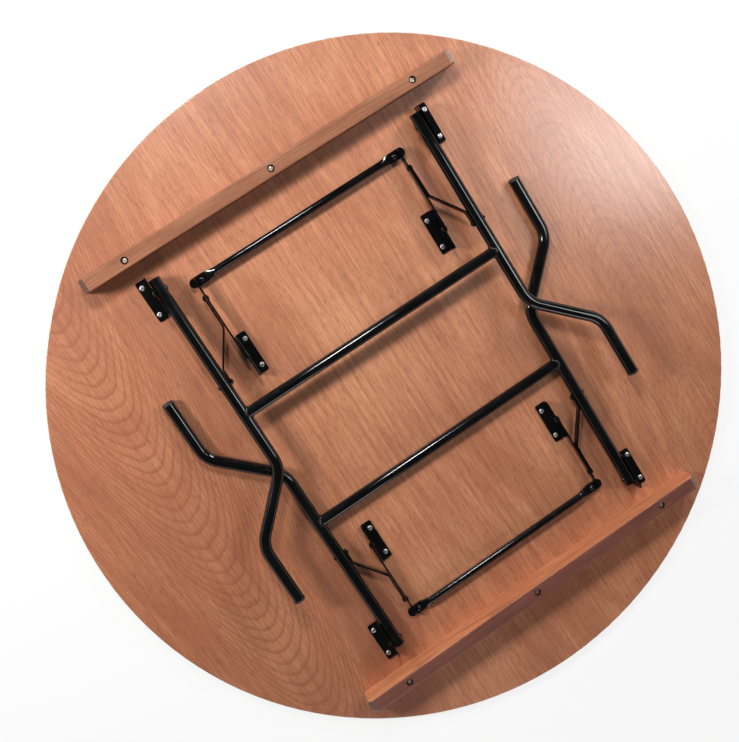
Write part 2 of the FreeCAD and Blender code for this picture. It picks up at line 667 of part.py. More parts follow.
pilot_places = []
for side_x in (-1, 1):
    for side_y in (-1, 1):
        for end in (-1, 1):
            hinge_screw_y = hinge_plate_y + end * HINGE_SCREW_SPACING / 2
            brace_screw_y = brace_y + end * BRACE_SCREW_SPACING / 2
            pilot_places.append((side_x * hinge_screw_x, side_y * hinge_screw_y, SCREW_DIAMETER))
            pilot_places.append((side_x * brace_screw_x, side_y * brace_screw_y, SCREW_DIAMETER))
for side_y in (-1, 1):
    pilot_places += [(x, side_y * batten_y, BATTEN_SCREW_DIAMETER) for x in batten_screw_x()]

tilt_a, tilt_b = rest_tilts()
link_a = linkage(PIVOT_HEIGHT_A, BRACE_PIVOT_HEIGHT_A, ELBOW_HEIGHT_A, tilt_a)
link_b = linkage(PIVOT_HEIGHT_B, BRACE_PIVOT_HEIGHT_B, ELBOW_HEIGHT_B, tilt_b)

save("table_top", [table_top(pilot_places)], False)
save("batten_a", [batten()], False)
save("batten_b", [batten()], True)
save("batten_screws", half_batten_screws + other_batten_screws, False)
save("bracket_screws", half_bracket_screws + other_bracket_screws, False)
save_set("a", link_a, False)
save_set("b", link_b, True)
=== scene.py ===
import json
import math

import bpy
from mathutils import Matrix, Vector


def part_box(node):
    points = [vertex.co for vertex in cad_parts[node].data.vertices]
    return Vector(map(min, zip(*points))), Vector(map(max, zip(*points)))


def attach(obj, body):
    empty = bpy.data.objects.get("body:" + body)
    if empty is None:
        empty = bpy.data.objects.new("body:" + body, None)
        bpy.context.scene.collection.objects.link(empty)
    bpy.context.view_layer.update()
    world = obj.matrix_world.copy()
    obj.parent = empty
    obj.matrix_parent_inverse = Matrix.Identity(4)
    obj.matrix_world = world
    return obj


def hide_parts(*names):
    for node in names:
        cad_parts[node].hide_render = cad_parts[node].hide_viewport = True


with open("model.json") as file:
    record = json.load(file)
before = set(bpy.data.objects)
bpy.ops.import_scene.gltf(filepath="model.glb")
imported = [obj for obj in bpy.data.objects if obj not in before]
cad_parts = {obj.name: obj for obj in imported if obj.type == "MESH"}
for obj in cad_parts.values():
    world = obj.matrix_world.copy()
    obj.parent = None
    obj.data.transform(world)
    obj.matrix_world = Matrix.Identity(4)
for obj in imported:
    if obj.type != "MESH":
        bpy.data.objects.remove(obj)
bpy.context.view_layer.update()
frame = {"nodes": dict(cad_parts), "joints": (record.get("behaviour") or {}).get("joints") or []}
nodes = frame["nodes"]
joints = {joint["name"]: joint for joint in frame["joints"]}


# Table top: one round panel of plywood, seen from its underside. Its face veneer is a warm
# reddish hardwood, rotary cut, with wide loops of grain along y and a satin clear coat.
# The rim is sanded to an eased edge, where the plies show as thin bands.

def shade(red, green, blue):
    """Colour for a socket, from the red, green and blue of a colour chart in 0 to 255."""
    parts = [value / 255 for value in (red, green, blue)]
    return [part / 12.92 if part <= 0.04045 else ((part + 0.055) / 1.055) ** 2.4 for part in parts] + [1.0]


def new_finish(name):
    """Material with one plain shader, to be fed with fields."""
    finish = bpy.data.materials.new(name)
    finish.use_nodes = True
    return finish, finish.node_tree, finish.node_tree.nodes["Principled BSDF"]


def feed(tree, socket, source):
    """Link a socket to another node's output, or set it to a plain value."""
    if isinstance(source, bpy.types.NodeSocket):
        tree.links.new(source, socket)
    else:
        socket.default_value = source


def cloud(tree, place, detail, roughness, distortion=0.0):
    """Soft random field from 0 to 1 over a place that is already scaled."""
    noise = tree.nodes.new("ShaderNodeTexNoise")
    feed(tree, noise.inputs["Vector"], place)
    noise.inputs["Scale"].default_value = 1.0
    noise.inputs["Detail"].default_value = detail
    noise.inputs["Roughness"].default_value = roughness
    noise.inputs["Distortion"].default_value = distortion
    return noise.outputs["Fac"]


def grain(tree, repeats, detail, roughness, shift=(0.0, 0.0, 0.0), distortion=0.0):
    """Soft random field with its own repeats per metre along x, y and z."""
    mapping = tree.nodes.new("ShaderNodeMapping")
    mapping.inputs["Location"].default_value = shift
    mapping.inputs["Scale"].default_value = repeats
    feed(tree, mapping.inputs["Vector"], tree.nodes.new("ShaderNodeTexCoord").outputs["Object"])
    return cloud(tree, mapping.outputs["Vector"], detail, roughness, distortion)


def reckon(tree, operation, first, second=0.0):
    """One sum on two fields."""
    step = tree.nodes.new("ShaderNodeMath")
    step.operation = operation
    feed(tree, step.inputs[0], first)
    feed(tree, step.inputs[1], second)
    return step.outputs["Value"]


def ramp(tree, value, low, high, to_low=0.0, to_high=1.0):
    """Ease a field from one level to another between low and high."""
    step = tree.nodes.new("ShaderNodeMapRange")
    step.interpolation_type = "SMOOTHSTEP"
    feed(tree, step.inputs["Value"], value)
    step.inputs["From Min"].default_value = low
    step.inputs["From Max"].default_value = high
    step.inputs["To Min"].default_value = to_low
    step.inputs["To Max"].default_value = to_high
    return step.outputs["Result"]


def tint(tree, share, first, second):
    """Lay the second colour over the first by a share."""
    step = tree.nodes.new("ShaderNodeMix")
    step.data_type = "RGBA"
    feed(tree, step.inputs["Factor"], share)
    feed(tree, step.inputs[6], first)
    feed(tree, step.inputs[7], second)
    return step.outputs[2]


def relief(tree, shader, height, depth):
    """Raise the surface by a field, as much as depth in metres."""
    bump = tree.nodes.new("ShaderNodeBump")
    bump.inputs["Strength"].default_value = 1.0
    bump.inputs["Distance"].default_value = depth
    feed(tree, bump.inputs["Height"], height)
    feed(tree, shader.inputs["Normal"], bump.outputs["Normal"])


def axis_of(tree, axis):
    """One object coordinate as a field."""
    split = tree.nodes.new("ShaderNodeSeparateXYZ")
    feed(tree, split.inputs["Vector"], tree.nodes.new("ShaderNodeTexCoord").outputs["Object"])
    return split.outputs[axis]


def distance_from(tree, place):
    """Distance in plan from a place on the table."""
    squares = []
    for axis, middle in zip("XY", place):
        squares.append(reckon(tree, "POWER", reckon(tree, "SUBTRACT", axis_of(tree, axis), middle), 2.0))
    return reckon(tree, "SQRT", reckon(tree, "ADD", squares[0], squares[1]))


def late_wood_lines(tree, rings, start):
    """Dark line at the end of each growth ring, which deepens from start and then stops."""
    ring_share = reckon(tree, "FRACT", rings)
    deepens = ramp(tree, ring_share, start, LATE_WOOD_PEAK)
    return reckon(tree, "MULTIPLY", deepens, ramp(tree, ring_share, 1.0, LATE_WOOD_PEAK))


def dress(names, finish):
    """Give CAD nodes a finish."""
    for name in names:
        nodes[name].material_slots[0].material = finish


# The first colour is painted light, for a pale pool in the middle of the panel; the rest are the wood's own
# colours.
VENEER_PAINTED_LIGHT = shade(244, 176, 132)
VENEER_LIGHT = shade(230, 159, 117)
VENEER_MIDDLE = shade(214, 141, 101)
VENEER_LATE_WOOD = shade(158, 90, 61)
VENEER_PORE = shade(128, 72, 49)
VENEER_RELIEF = 0.00008
CLEAR_COAT_ROUGHNESS = 0.26
CLEAR_COAT_INDEX = 1.7
LOOP_AXIS = -0.535
LOOP_SPAN = 0.735
LOOP_RINGS = 18.0
RINGS_ALONG = -32.0
RING_WARPS = (((2.6, 0.9, 1.0), 5.0), ((9.0, 2.6, 1.0), 1.6), ((42.0, 9.0, 1.0), 0.45))
LATE_WOOD_START = 0.5
LATE_WOOD_PEAK = 0.92
# Where the figure shows, towards the left and right of the panel; the same mask also darkens those sides as
# painted shade.
LEFT_FIGURE_AND_SHADE_EDGES = (-0.2, -0.4)
LEFT_FIGURE_AND_SHADE_SHARES = (0.12, 1.0)
RIGHT_FIGURE_AND_SHADE_EDGES = (0.3, 0.6)
RIGHT_FIGURE_AND_SHADE_SHARES = (0.0, 0.4)
FIGURE_REPEATS = (3.1, 1.7, 1.0)
FIGURE_SHIFT = (5.0, 2.0, 0.0)
FIGURE_SHARES = (0.34, 0.72)
PAINTED_SIDE_SHADE_SHARE = 0.3
BANDS_PER_RING = 0.28
BANDS_ALONG = 1.3
STREAK_REPEATS = (120.0, 3.0, 1.0)
STREAK_SHIFT = (1.0, 4.0, 0.0)
STREAK_SHARE = 0.36
PATCH_REPEATS = (4.2, 2.2, 1.0)
PATCH_SHIFT = (3.0, 1.0, 0.0)
PATCH_SHARE = 0.48
FIBRE_REPEATS = (300.0, 9.0, 1.0)
FIBRE_SHARE = 0.4
PORE_REPEATS = (420.0, 45.0, 1.0)
PORE_SHARE = 0.36
# Painted light: a pale pool round a point near the middle of the panel.
LIGHT_POOL_PLACE = (-0.02, 0.12)
LIGHT_POOL_REACH = 0.34
LIGHT_POOL_SHARE = 0.8
PLY_PALE = shade(236, 214, 186)
PLY_DARK = shade(206, 170, 134)
PLY_COUNT = 13
RIM_START = 0.0022
RIM_END = 0.0012

top_low, top_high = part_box("table_top")
top_radius = top_high.x
top_thickness = top_high.z - top_low.z

veneer, tree, shader = new_finish("veneer_plywood")
along_x = axis_of(tree, "X")
along_y = axis_of(tree, "Y")

loop_turn = reckon(tree, "MULTIPLY", reckon(tree, "SUBTRACT", along_x, LOOP_AXIS), 2 * math.pi / LOOP_SPAN)
loops = reckon(tree, "MULTIPLY", reckon(tree, "COSINE", loop_turn), -LOOP_RINGS)
rings = reckon(tree, "ADD", loops, reckon(tree, "MULTIPLY", along_y, RINGS_ALONG))
for repeats, rings_moved in RING_WARPS:
    warp = reckon(tree, "MULTIPLY", grain(tree, repeats, detail=1.0, roughness=0.4), rings_moved)
    rings = reckon(tree, "ADD", rings, warp)
late_wood = late_wood_lines(tree, rings, LATE_WOOD_START)
left_figure_and_shade = ramp(tree, along_x, *LEFT_FIGURE_AND_SHADE_EDGES, *LEFT_FIGURE_AND_SHADE_SHARES)
right_figure_and_shade = ramp(tree, along_x, *RIGHT_FIGURE_AND_SHADE_EDGES, *RIGHT_FIGURE_AND_SHADE_SHARES)
figure_and_side_shade = reckon(tree, "MAXIMUM", left_figure_and_shade, right_figure_and_shade)
fade = grain(tree, FIGURE_REPEATS, detail=2.0, roughness=0.5, shift=FIGURE_SHIFT)
fade = reckon(tree, "MULTIPLY", ramp(tree, fade, 0.35, 0.68, *FIGURE_SHARES), figure_and_side_shade)

band_place = tree.nodes.new("ShaderNodeCombineXYZ")
feed(tree, band_place.inputs["X"], reckon(tree, "MULTIPLY", rings, BANDS_PER_RING))
feed(tree, band_place.inputs["Y"], reckon(tree, "MULTIPLY", along_y, BANDS_ALONG))
bands = cloud(tree, band_place.outputs["Vector"], detail=2.0, roughness=0.5)
streaks = grain(tree, STREAK_REPEATS, detail=3.0, roughness=0.55, shift=STREAK_SHIFT)
patches = grain(tree, PATCH_REPEATS, detail=4.0, roughness=0.6, shift=PATCH_SHIFT)
fibres = grain(tree, FIBRE_REPEATS, detail=4.0, roughness=0.7)
pores = ramp(tree, grain(tree, PORE_REPEATS, detail=2.0, roughness=0.5), 0.54, 0.66)

colour = tint(tree, ramp(tree, bands, 0.32, 0.68), VENEER_LIGHT, VENEER_MIDDLE)
# Painted pool of light: the veneer is paled round a point near the middle of the panel.
painted_light_pool = ramp(tree, distance_from(tree, LIGHT_POOL_PLACE), LIGHT_POOL_REACH, 0.0, to_high=LIGHT_POOL_SHARE)
colour = tint(tree, painted_light_pool, colour, VENEER_PAINTED_LIGHT)
colour = tint(tree, ramp(tree, patches, 0.38, 0.72, to_high=PATCH_SHARE), colour, VENEER_LATE_WOOD)
colour = tint(tree, reckon(tree, "MULTIPLY", late_wood, fade), colour, VENEER_LATE_WOOD)
# Painted shade: the left and right sides of the panel are darkened towards late wood.
colour = tint(tree, reckon(tree, "MULTIPLY", figure_and_side_shade, PAINTED_SIDE_SHADE_SHARE), colour, VENEER_LATE_WOOD)
colour = tint(tree, ramp(tree, streaks, 0.4, 0.66, to_high=STREAK_SHARE), colour, VENEER_LATE_WOOD)
colour = tint(tree, ramp(tree, fibres, 0.36, 0.68, to_high=FIBRE_SHARE), colour, VENEER_LATE_WOOD)
colour = tint(tree, reckon(tree, "MULTIPLY", pores, PORE_SHARE), colour, VENEER_PORE)

plies = reckon(tree, "MULTIPLY", axis_of(tree, "Z"), math.pi * PLY_COUNT / top_thickness)
rim_colour = tint(tree, ramp(tree, reckon(tree, "SINE", plies), -0.3, 0.3), PLY_PALE, PLY_DARK)
rim = ramp(tree, distance_from(tree, (0.0, 0.0)), top_radius - RIM_START, top_radius - RIM_END)
feed(tree, shader.inputs["Base Color"], tint(tree, rim, colour, rim_colour))
feed(tree, shader.inputs["Roughness"], ramp(tree, fibres, 0.3, 0.7, to_low=0.38, to_high=0.5))
relief(tree, shader, reckon(tree, "SUBTRACT", fibres, pores), VENEER_RELIEF)
shader.inputs["Coat Weight"].default_value = 1.0
shader.inputs["Coat Roughness"].default_value = CLEAR_COAT_ROUGHNESS
shader.inputs["Coat IOR"].default_value = CLEAR_COAT_INDEX
dress(["table_top"], veneer)


# Battens: two softwood rails across the underside, on which folded tables stack. The stain took unevenly, so
# that the top faces differ in tone. The sides carry painted light and shade, darker on rail A and lighter on
# rail B; the chamfered ends are paler at the right and darker at the left, partly in their own tone and
# partly as painted light and shade; and the counterbore walls are painted dark as shade. Three screws hold
# each.

RAIL_GRAIN = shade(104, 58, 42)
RAIL_BORE_PAINTED_SHADE = shade(66, 40, 30)
RAIL_SWELL_REPEATS = (1.1, 15.0, 15.0)
RAIL_RINGS = 16.0
RAIL_LATE_WOOD_START = 0.25
RAIL_LINE_SHARE = 0.32
RAIL_FIBRE_REPEATS = (22.0, 560.0, 560.0)
RAIL_FIBRE_SHARE = 0.32
RAIL_PORE_REPEATS = (90.0, 800.0, 800.0)
RAIL_PORE_SHARE = 0.3
RAIL_PATCH_REPEATS = (6.0, 26.0, 26.0)
RAIL_END_REPEATS = (40.0, 60.0, 90.0)
RAIL_END_RINGS = 40.0
RAIL_END_LINE_SHARE = 0.35
RAIL_RELIEF = 0.0001
RAIL_CROWN = 0.0016
RAIL_CHAMFER = 0.0125
RAIL_FADE = 0.0008
rail_low, rail_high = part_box("batten_a")
rail_end = rail_high.x
rail_middle = (rail_low.y + rail_high.y) / 2
rail_half = (rail_high.y - rail_low.y) / 2


def rail_finish(name, shift, warm, brown, side_warm_light_and_shade, side_brown_light_and_shade, left_end_tone_and_shade, right_end_tone_and_light):
    """Rail with grain along x, its own tones on top, painted light and shade on its sides and ends, painted
    shade in its bores, and end grain.
    """
    finish, tree, shader = new_finish(name)
    swell = grain(tree, RAIL_SWELL_REPEATS, detail=1.0, roughness=0.4, shift=shift, distortion=0.2)
    lines = late_wood_lines(tree, reckon(tree, "MULTIPLY", swell, RAIL_RINGS), RAIL_LATE_WOOD_START)
    fibres = grain(tree, RAIL_FIBRE_REPEATS, detail=3.0, roughness=0.6, shift=shift)
    pores = ramp(tree, grain(tree, RAIL_PORE_REPEATS, detail=2.0, roughness=0.5, shift=shift), 0.55, 0.7)
    patches = grain(tree, RAIL_PATCH_REPEATS, detail=3.0, roughness=0.55, shift=shift)
    stain = ramp(tree, patches, 0.3, 0.7)

    drop = reckon(tree, "SUBTRACT", rail_high.z, axis_of(tree, "Z"))
    crown = ramp(tree, drop, RAIL_CROWN, RAIL_CROWN / 2)
    from_middle = reckon(tree, "SUBTRACT", reckon(tree, "ABSOLUTE", axis_of(tree, "Y")), rail_middle)
    from_middle = reckon(tree, "ABSOLUTE", from_middle)
    outside = ramp(tree, from_middle, rail_half - 2 * RAIL_CROWN, rail_half - RAIL_CROWN)
    # Painted shade: below the top and away from the side faces, that is on the counterbore walls, the colour
    # is a dark brown.
    side_colour = tint(tree, outside, RAIL_BORE_PAINTED_SHADE, tint(tree, stain, side_warm_light_and_shade, side_brown_light_and_shade))
    colour = tint(tree, crown, side_colour, tint(tree, stain, warm, brown))
    colour = tint(tree, reckon(tree, "MULTIPLY", lines, RAIL_LINE_SHARE), colour, RAIL_GRAIN)
    colour = tint(tree, ramp(tree, fibres, 0.35, 0.75, to_high=RAIL_FIBRE_SHARE), colour, RAIL_GRAIN)
    colour = tint(tree, reckon(tree, "MULTIPLY", pores, RAIL_PORE_SHARE), colour, RAIL_GRAIN)

    end_rings = grain(tree, RAIL_END_REPEATS, detail=2.0, roughness=0.5, shift=shift, distortion=1.2)
    end_waves = reckon(tree, "SINE", reckon(tree, "MULTIPLY", end_rings, RAIL_END_RINGS))
    end_lines = reckon(tree, "MULTIPLY", ramp(tree, end_waves, -0.4, 1.0), RAIL_END_LINE_SHARE)
    # End grain in its own tone, with painted light and shade: paler on the right ends, darker on the left
    # ends.
    end_colour = tint(tree, ramp(tree, axis_of(tree, "X"), -RAIL_CROWN, RAIL_CROWN), left_end_tone_and_shade, right_end_tone_and_light)
    end_colour = tint(tree, end_lines, end_colour, brown)
    reach = reckon(tree, "ABSOLUTE", axis_of(tree, "X"))
    chamfer_start = rail_end - RAIL_CHAMFER
    bevel = ramp(tree, reckon(tree, "SUBTRACT", reach, drop), chamfer_start - RAIL_FADE, chamfer_start)
    bevel = reckon(tree, "MULTIPLY", bevel, ramp(tree, drop, RAIL_CHAMFER + RAIL_FADE, RAIL_CHAMFER))
    cut = reckon(tree, "MAXIMUM", bevel, ramp(tree, reach, rail_end - 2 * RAIL_FADE, rail_end - RAIL_FADE))

    feed(tree, shader.inputs["Base Color"], tint(tree, cut, colour, end_colour))
    feed(tree, shader.inputs["Roughness"], ramp(tree, fibres, 0.3, 0.7, to_low=0.34, to_high=0.5))
    relief(tree, shader, fibres, RAIL_RELIEF)
    return finish


stained_rail_a = rail_finish(
    "stained_rail_a",
    shift=(0.7, 0.2, 0.4),
    warm=shade(178, 119, 85),
    brown=shade(152, 96, 67),
    # Painted shade: rail A's sides are darkened, as they lie in shade.
    side_warm_light_and_shade=shade(150, 82, 50),
    side_brown_light_and_shade=shade(128, 68, 42),
    left_end_tone_and_shade=shade(120, 78, 56),
    right_end_tone_and_light=shade(240, 214, 184),
)
stained_rail_b = rail_finish(
    "stained_rail_b",
    shift=(4.1, 1.3, 2.2),
    warm=shade(138, 86, 74),
    brown=shade(116, 70, 60),
    # Painted light: rail B's sides are lightened, as they face the lamps.
    side_warm_light_and_shade=shade(228, 150, 104),
    side_brown_light_and_shade=shade(204, 124, 82),
    left_end_tone_and_shade=shade(112, 72, 64),
    right_end_tone_and_light=shade(142, 92, 80),
)
dress(["batten_a"], stained_rail_a)
dress(["batten_b"], stained_rail_b)


# Brackets: eight folded steel angles, stamped with round corners, powder coated gloss black.
# The coat has the slight orange peel and dust of a sprayed finish. Four brackets carry the leg
# tubes on their rivets and four the brace arms.

ENAMEL_BLACK = shade(5, 5, 6)
ENAMEL_DUST = shade(13, 13, 14)
ENAMEL_PEEL = 0.00002
PEEL_REPEATS = (420.0, 420.0, 420.0)
DUST_REPEATS = (14.0, 14.0, 14.0)

enamel, tree, shader = new_finish("black_powder_coat")
dust = grain(tree, DUST_REPEATS, detail=3.0, roughness=0.6)
feed(tree, shader.inputs["Base Color"], tint(tree, ramp(tree, dust, 0.35, 0.75), ENAMEL_BLACK, ENAMEL_DUST))
feed(tree, shader.inputs["Roughness"], ramp(tree, dust, 0.3, 0.7, to_low=0.06, to_high=0.16))
relief(tree, shader, grain(tree, PEEL_REPEATS, detail=2.0, roughness=0.5), ENAMEL_PEEL)
corners = ["a_left", "a_right", "b_left", "b_right"]
dress(["hinge_bracket_" + corner for corner in corners], enamel)
dress(["brace_bracket_" + corner for corner in corners], enamel)


# Bracket screws: sixteen pan-head cross-recess screws in bright zinc, two to a bracket.
# Each head is turned as a low dome with a pressed cross, and drives into the plywood.

TARNISH_REPEATS = (260.0, 260.0, 260.0)
TURNING_REPEATS = (1500.0, 1500.0, 1500.0)
TURNING_RELIEF = 0.00002
CROSS_WIDTH_SHARE = 0.28
CROSS_REACH_SHARE = 0.56
CROSS_DEPTH_SHARE = 0.62
CROSS_TAPER_SHARE = 0.35
DOME_SHARE = 0.8
SHANK_STRAIGHT_SHARE = 0.8
SHANK_POINT_SHARE = 0.19
POINT_WIDTH_SHARE = 0.15
SMOOTH_ANGLE = math.radians(35.0)
SCREW_TURN = math.radians(37.0)
SCREW_ROOM = 0.014


def plated_finish(name, bright, dull, smoothest, roughest):
    """Plated steel with fine turning marks and a little tarnish."""
    finish, tree, shader = new_finish(name)
    tarnish = grain(tree, TARNISH_REPEATS, detail=3.0, roughness=0.6)
    feed(tree, shader.inputs["Base Color"], tint(tree, ramp(tree, tarnish, 0.4, 0.75), bright, dull))
    feed(tree, shader.inputs["Roughness"], ramp(tree, tarnish, 0.3, 0.7, to_low=smoothest, to_high=roughest))
    relief(tree, shader, grain(tree, TURNING_REPEATS, detail=2.0, roughness=0.5), TURNING_RELIEF)
    shader.inputs["Metallic"].default_value = 1.0
    return finish


def pick(piece):
    """Make a piece the only one selected, and the active one."""
    bpy.ops.object.select_all(action="DESELECT")
    piece.select_set(True)
    bpy.context.view_layer.objects.active = piece


def settle(piece):
    """Leave a piece at the origin, with its place in its mesh."""
    pick(piece)
    bpy.ops.object.transform_apply(location=True, rotation=True, scale=True)


def select_faces(piece, chosen):
    """In edit mode, select the faces whose centre and normal pass a test, and no others."""
    bpy.ops.mesh.select_all(action="DESELECT")
    bpy.ops.object.mode_set(mode="OBJECT")
    for face in piece.data.polygons:
        face.select = chosen(face.center, face.normal)
    bpy.ops.object.mode_set(mode="EDIT")
    bpy.ops.mesh.select_mode(type="FACE")


def cross_cutter(width, reach, depth, crown):
    """Two tapered blades that press the cross into a screw head whose crown is at this height."""
    blades = []
    for turn in (0.0, math.pi / 2):
        bpy.ops.object.select_all(action="DESELECT")
        bpy.ops.mesh.primitive_cube_add(size=1.0, location=(0.0, 0.0, crown), rotation=(0.0, 0.0, turn))
        blade = bpy.context.active_object
        blade.scale = (2 * reach, width, 2 * depth)
        settle(blade)
        bpy.ops.object.mode_set(mode="EDIT")
        select_faces(blade, lambda centre, normal: normal.z < -0.9)
        bpy.ops.transform.resize(value=(CROSS_TAPER_SHARE, CROSS_TAPER_SHARE, 1.0))
        bpy.ops.object.mode_set(mode="OBJECT")
        blades.append(blade)
    return blades


def cut_away(piece, cutters):
    """Cut each cutter out of a piece, then remove the cutters."""
    for cutter in cutters:
        pick(piece)
        cut = piece.modifiers.new("recess", "BOOLEAN")
        cut.operation = "DIFFERENCE"
        cut.solver = "EXACT"
        cut.object = cutter
        bpy.ops.object.modifier_apply(modifier=cut.name)
        bpy.data.objects.remove(cutter)


def cross_screw(name, head_radius, head_height, shank_radius, shank_length):
    """Cross-recess screw with its seat at the origin, head up and shank down."""
    bpy.ops.object.select_all(action="DESELECT")
    bpy.ops.mesh.primitive_cylinder_add(
        vertices=48, radius=head_radius, depth=head_height, location=(0.0, 0.0, head_height / 2)
    )
    piece = bpy.context.active_object
    piece.name = name
    settle(piece)
    bpy.ops.object.mode_set(mode="EDIT")
    select_faces(piece, lambda centre, normal: normal.z < -0.9)
    bpy.ops.mesh.inset(thickness=head_radius - shank_radius)
    for share in (SHANK_STRAIGHT_SHARE, SHANK_POINT_SHARE):
        bpy.ops.mesh.extrude_region_move(TRANSFORM_OT_translate={"value": (0.0, 0.0, -share * shank_length)})
    bpy.ops.transform.resize(value=(POINT_WIDTH_SHARE, POINT_WIDTH_SHARE, 1.0))
    select_faces(piece, lambda centre, normal: normal.z > 0.9 and centre.z > head_height / 2)
    bpy.ops.mesh.bevel(offset=DOME_SHARE * head_height, segments=6, profile=0.5, affect="EDGES")
    bpy.ops.object.mode_set(mode="OBJECT")
    cross_width = CROSS_WIDTH_SHARE * head_radius
    cross_reach = CROSS_REACH_SHARE * head_radius
    cross_depth = CROSS_DEPTH_SHARE * head_height
    cut_away(piece, cross_cutter(cross_width, cross_reach, cross_depth, head_height))
    pick(piece)
    bpy.ops.object.shade_smooth_by_angle(angle=SMOOTH_ANGLE)
    return piece


def seats_of(name, seat_z):
    """Where each screw of a CAD node stands: the middle of each close group of its corners."""
    groups = []
    for vertex in nodes[name].data.vertices:
        corner = vertex.co.xy
        group = next((near for near in groups if (corner - near[0]).length < SCREW_ROOM), None)
        if group is None:
            groups.append([corner])
        else:
            group.append(corner)
    seats = []
    for group in groups:
        across = [corner.x for corner in group]
        along = [corner.y for corner in group]
        seats.append(Vector(((min(across) + max(across)) / 2, (min(along) + max(along)) / 2, seat_z)))
    return seats


def screw_set(name, pattern, seats, finish):
    """Copies of one screw, each turned a little further than the last, joined as one piece."""
    copies = []
    for index, seat in enumerate(seats):
        copy = pattern.copy()
        copy.data = pattern.data.copy()
        bpy.context.scene.collection.objects.link(copy)
        copy.data.transform(Matrix.Translation(seat) @ Matrix.Rotation(index * SCREW_TURN, 4, "Z"))
        copies.append(copy)
    bpy.data.objects.remove(pattern)
    pick(copies[0])
    for copy in copies:
        copy.select_set(True)
    bpy.ops.object.join()
    copies[0].name = name
    copies[0].data.materials.clear()
    copies[0].data.materials.append(finish)
    return copies[0]


PAN_HEAD_RADIUS = 0.00575
PAN_HEAD_HEIGHT = 0.003
PAN_SHANK_RADIUS = 0.0024
pan_low, pan_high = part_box("bracket_screws")
pan_seat = pan_high.z - PAN_HEAD_HEIGHT
bright_zinc = plated_finish(
    "bright_zinc_plate", shade(232, 232, 234), shade(190, 190, 194), smoothest=0.3, roughest=0.46
)
pan_screw = cross_screw("pan_screw", PAN_HEAD_RADIUS, PAN_HEAD_HEIGHT, PAN_SHANK_RADIUS, pan_seat - pan_low.z)
pan_screws = screw_set("pan_screws", pan_screw, seats_of("bracket_screws", pan_seat), bright_zinc)
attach(pan_screws, "top")
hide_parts("bracket_screws")


# Batten screws: three long screws in yellow zinc to each batten, sunk in counterbores.
# Only the domed head with its cross shows at the bottom of the bore.

RAIL_HEAD_RADIUS = 0.0055
RAIL_HEAD_HEIGHT = 0.0024
RAIL_SHANK_RADIUS = 0.0025
rail_screw_low, rail_screw_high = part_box("batten_screws")
rail_seat = rail_screw_high.z - RAIL_HEAD_HEIGHT
rail_shank = rail_seat - rail_screw_low.z
yellow_zinc = plated_finish(
    "yellow_zinc_plate", shade(238, 230, 212), shade(204, 186, 150), smoothest=0.36, roughest=0.52
)
rail_screw = cross_screw("rail_screw", RAIL_HEAD_RADIUS, RAIL_HEAD_HEIGHT, RAIL_SHANK_RADIUS, rail_shank)
rail_screws = screw_set("rail_screws", rail_screw, seats_of("batten_screws", rail_seat), yellow_zinc)
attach(rail_screws, "top")
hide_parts("batten_screws")


# Leg sets: two bent steel tubes and a crossbar to each set, welded and powder coated black.
# A rippled weld bead runs round each end of the crossbar, where it is coped to the tube.

TUBE_RADIUS = 0.0127
BEAD_RADIUS = 0.0024
BEAD_RIPPLES = 30
BEAD_RIPPLE_SHARE = 0.14


def weld_bead(name, leg_set, side):
    """Bead in the corner between a crossbar's end and the leg tube it is coped to."""
    bar_low, bar_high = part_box("crossbar_" + leg_set)
    bar_radius = (bar_high.y - bar_low.y) / 2
    middle = Vector((0.0, (bar_low.y + bar_high.y) / 2, (bar_low.z + bar_high.z) / 2))
    tube_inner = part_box("leg_" + leg_set + "_right")[0].x
    hinge = Vector(joints["leg_" + leg_set + "_fold"]["pos_m"])
    bpy.ops.object.select_all(action="DESELECT")
    bpy.ops.mesh.primitive_torus_add(
        major_radius=bar_radius,
        minor_radius=BEAD_RADIUS,
        major_segments=120,
        minor_segments=10,
        rotation=(0.0, math.pi / 2, 0.0),
    )
    bead = bpy.context.active_object
    bead.name = name
    settle(bead)
    for vertex in bead.data.vertices:
        angle = math.atan2(vertex.co.z, vertex.co.y)
        ring = Vector((0.0, math.cos(angle), math.sin(angle))) * bar_radius
        swell = 1.0 + BEAD_RIPPLE_SHARE * math.sin(BEAD_RIPPLES * angle)
        vertex.co = ring + (vertex.co - ring) * swell
        height = min(abs(vertex.co.z), bar_radius)
        vertex.co.x += TUBE_RADIUS - math.sqrt(TUBE_RADIUS ** 2 - height ** 2)
    lift = math.atan2(middle.z - hinge.z, abs(middle.y - hinge.y))
    lean = -lift if middle.y < hinge.y else lift
    place = Matrix.Translation((side * tube_inner, middle.y, middle.z))
    bead.data.transform(place @ Matrix.Rotation(lean, 4, "X") @ Matrix.Diagonal((side, 1.0, 1.0, 1.0)))
    pick(bead)
    bpy.ops.object.mode_set(mode="EDIT")
    bpy.ops.mesh.select_all(action="SELECT")
    bpy.ops.mesh.normals_make_consistent(inside=False)
    bpy.ops.object.mode_set(mode="OBJECT")
    bpy.ops.object.shade_smooth()
    bead.data.materials.append(enamel)
    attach(bead, "leg_set_" + leg_set)


for leg_set in ("a", "b"):
    dress(["leg_" + leg_set + "_left", "leg_" + leg_set + "_right", "crossbar_" + leg_set], enamel)
    dress(["hinge_rivets_" + leg_set, "strut_rivets_" + leg_set], enamel)
    weld_bead("weld_bead_" + leg_set + "_left", leg_set, -1)
    weld_bead("weld_bead_" + leg_set + "_right", leg_set, 1)


# Foot plugs: rounded caps moulded in black plastic, pushed into the tube ends.
# Fine moulded grain and no gloss.

PLUG_BLACK = shade(24, 24, 25)
PLUG_SCUFF = shade(38, 38, 40)
PLUG_RELIEF = 0.00008
SCUFF_REPEATS = (900.0, 900.0, 900.0)

